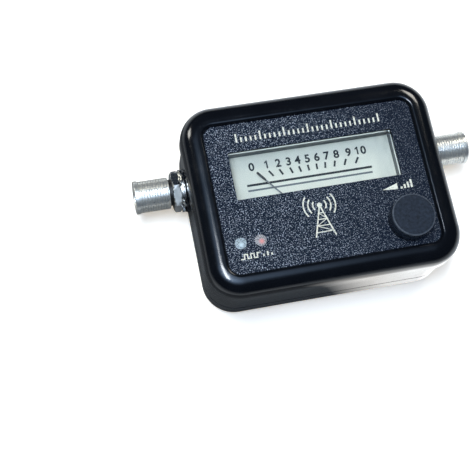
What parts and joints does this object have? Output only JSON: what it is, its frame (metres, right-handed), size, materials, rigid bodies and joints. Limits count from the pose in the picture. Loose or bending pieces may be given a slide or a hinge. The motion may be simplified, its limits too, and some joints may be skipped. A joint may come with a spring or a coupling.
{
  "type": "satellite signal meter",
  "caption": "Pocket satellite signal meter: black case with a moving-coil dial behind a window, a gain knob, signal lamps and a threaded aerial connector at either side.",
  "frame": {"origin": "middle of the case's back, on which the meter rests", "axes": "+X to the right across the face, +Y up the face, +Z out of the face"},
  "size_m": [0.1048, 0.059, 0.0323],
  "materials": {
    "case_plastic": "moulded glossy black",
    "label_film": "fine-grained printed film",
    "screw_steel": "zinc plated",
    "board_laminate": "solder mask",
    "nickel_plate": "bright nickel plate",
    "insulator_plastic": "waxy white",
    "contact_brass": "gilt",
    "washer_steel": "bright plated",
    "component_plastic": "moulded black",
    "shaft_alloy": "turned",
    "knob_plastic": "fine satin",
    "lamp_left": "diffused resin, cool white",
    "lamp_right": "diffused resin, pale red",
    "tinned_wire": "tinned",
    "meter_plastic": "moulded dark grey",
    "meter_clear": "clear moulding",
    "dial_paint": "satin off-white",
    "pivot_steel": "polished",
    "bridge_brass": "stamped",
    "yoke_iron": "plated soft iron",
    "magnet_alloy": "ground",
    "jewel_ruby": "polished",
    "spring_bronze": "bright strip",
    "coil_copper": "enamelled winding",
    "pointer_paint": "satin black",
    "shield_tin": "tinned sheet",
    "capacitor_sleeve": "shrunk sleeve",
    "choke_ferrite": "dark ferrite",
    "resistor_lacquer": "lacquered",
    "disc_ceramic": "dipped"
  },
  "bodies": {
    "case": {"front_shell": "case_plastic", "rear_shell": "case_plastic", "face_label": "label_film", "case_screws": "screw_steel", "circuit_board": "board_laminate", "board_screws": "screw_steel", "left_connector": "nickel_plate", "right_connector": "nickel_plate", "left_insulator": "insulator_plastic", "right_insulator": "insulator_plastic", "left_contact": "contact_brass", "right_contact": "contact_brass", "left_lock_washer": "washer_steel", "right_lock_washer": "washer_steel", "left_inner_nut": "nickel_plate", "potentiometer": "component_plastic", "left_lamp": "lamp_left", "right_lamp": "lamp_right", "lamp_leads": "tinned_wire", "meter_case": "meter_plastic", "meter_cover": "meter_clear", "meter_dial": "dial_paint", "pointer_stops": "pivot_steel", "lower_bridge": "bridge_brass", "upper_bridge": "bridge_brass", "meter_yoke": "yoke_iron", "meter_magnet": "magnet_alloy", "magnet_supports": "bridge_brass", "bearing_jewels": "jewel_ruby", "hairspring": "spring_bronze", "meter_terminals": "tinned_wire", "buzzer": "component_plastic", "detector_shield": "shield_tin", "amplifier_chip": "component_plastic", "capacitors": "capacitor_sleeve", "chokes": "choke_ferrite", "resistors": "resistor_lacquer", "disc_capacitors": "disc_ceramic", "transistors": "component_plastic"},
    "knob": {"knob": "knob_plastic", "potentiometer_shaft": "shaft_alloy"},
    "movement": {"pointer": "pointer_paint", "moving_coil": "coil_copper", "coil_pivots": "pivot_steel"}
  },
  "joints": [
    {"name": "knob_turn", "type": "hinge", "parent": "case", "child": "knob", "pos_m": [0.0231, -0.01555, 0.0273], "axis": [0, 0, 1], "range_deg": [-150, 150]},
    {"name": "pointer_swing", "type": "hinge", "parent": "case", "child": "movement", "pos_m": [-0.0003, -0.0143, 0.0216], "axis": [0, 0, -1], "range_deg": [0, 74], "stiffness_Nm_per_rad": 0.00001}
  ]
}
